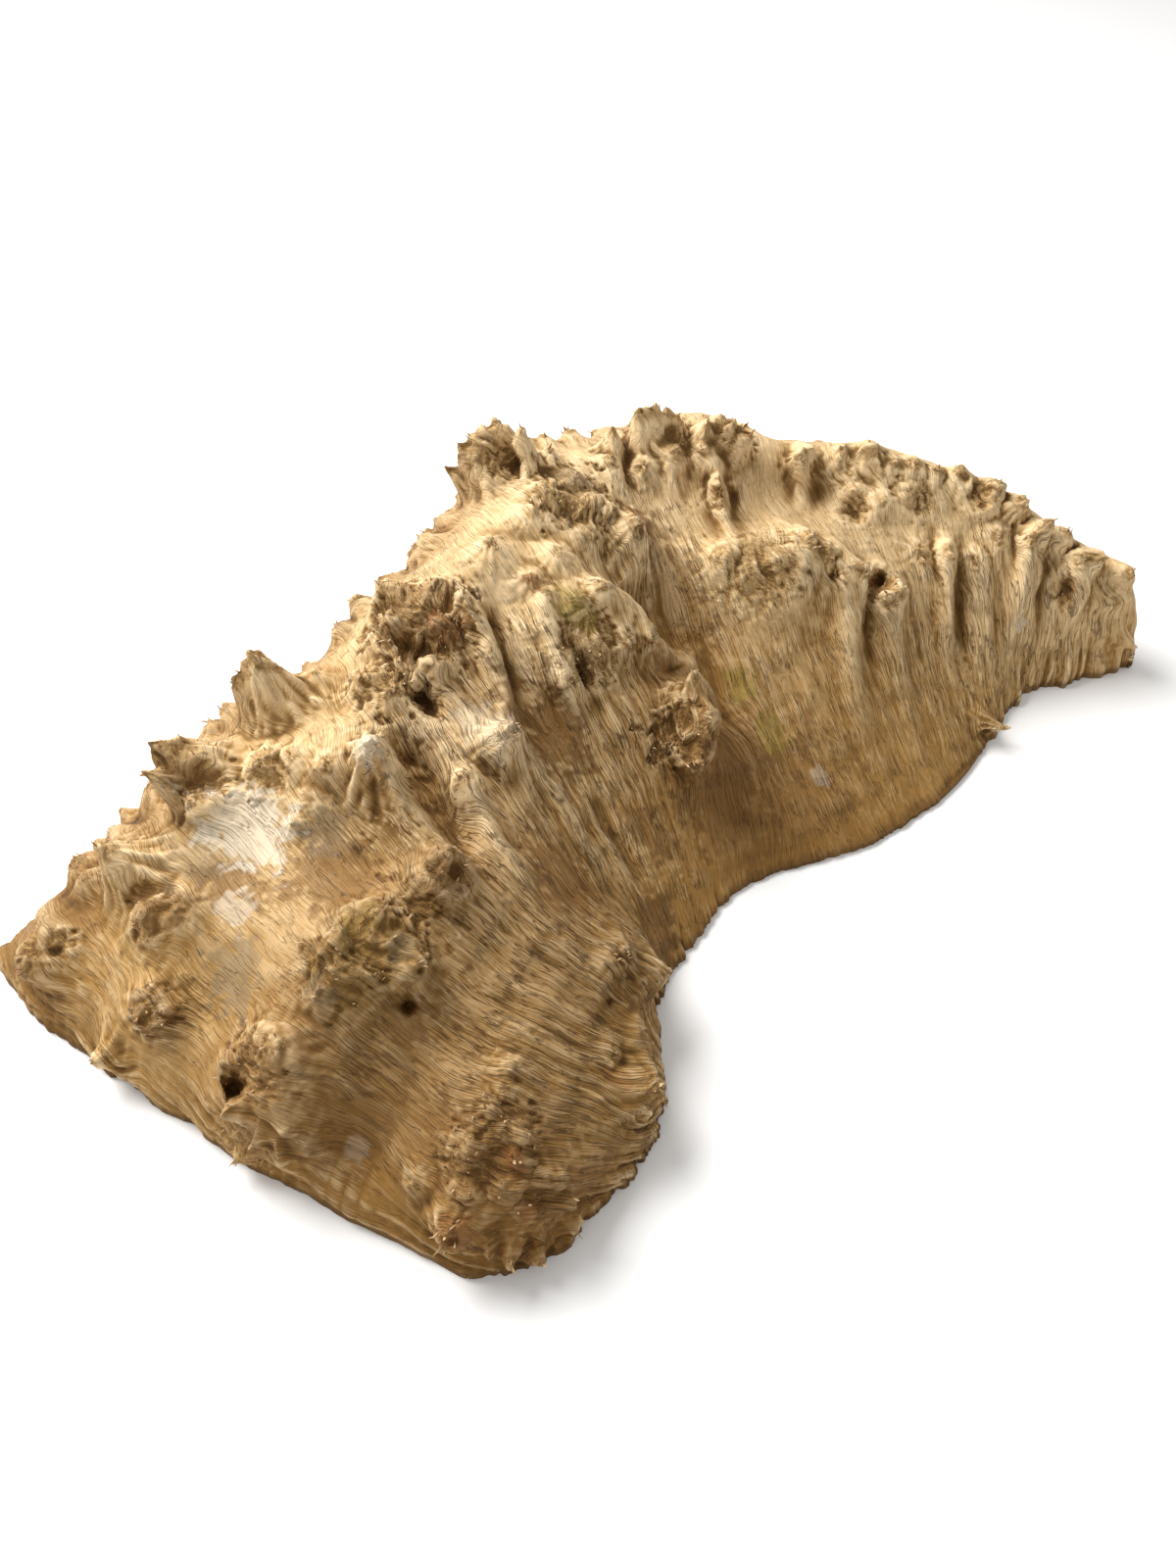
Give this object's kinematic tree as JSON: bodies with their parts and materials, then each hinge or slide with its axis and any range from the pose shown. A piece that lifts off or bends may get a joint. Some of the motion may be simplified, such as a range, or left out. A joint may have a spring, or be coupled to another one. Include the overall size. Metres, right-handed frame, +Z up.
{
  "type": "burl cap",
  "caption": "Gnarled wooden burl cap, sawn flat underneath, with knobs, spikes, ribs and knot eyes over its skin.",
  "frame": {"origin": "middle of the bounding box, on the sawn underside", "axes": "+Z up out of the sawn underside; +X along the cap's length, from the broad near lobe to the thin far end; +Y towards the cap's high, steep back"},
  "size_m": [0.4926, 0.3066, 0.1236],
  "materials": {
    "burl_wood": "bare weathered wood, matt, pale ochre with darker brown grooves"
  },
  "bodies": {
    "root": {"burl_cap": "burl_wood"}
  },
  "joints": []
}
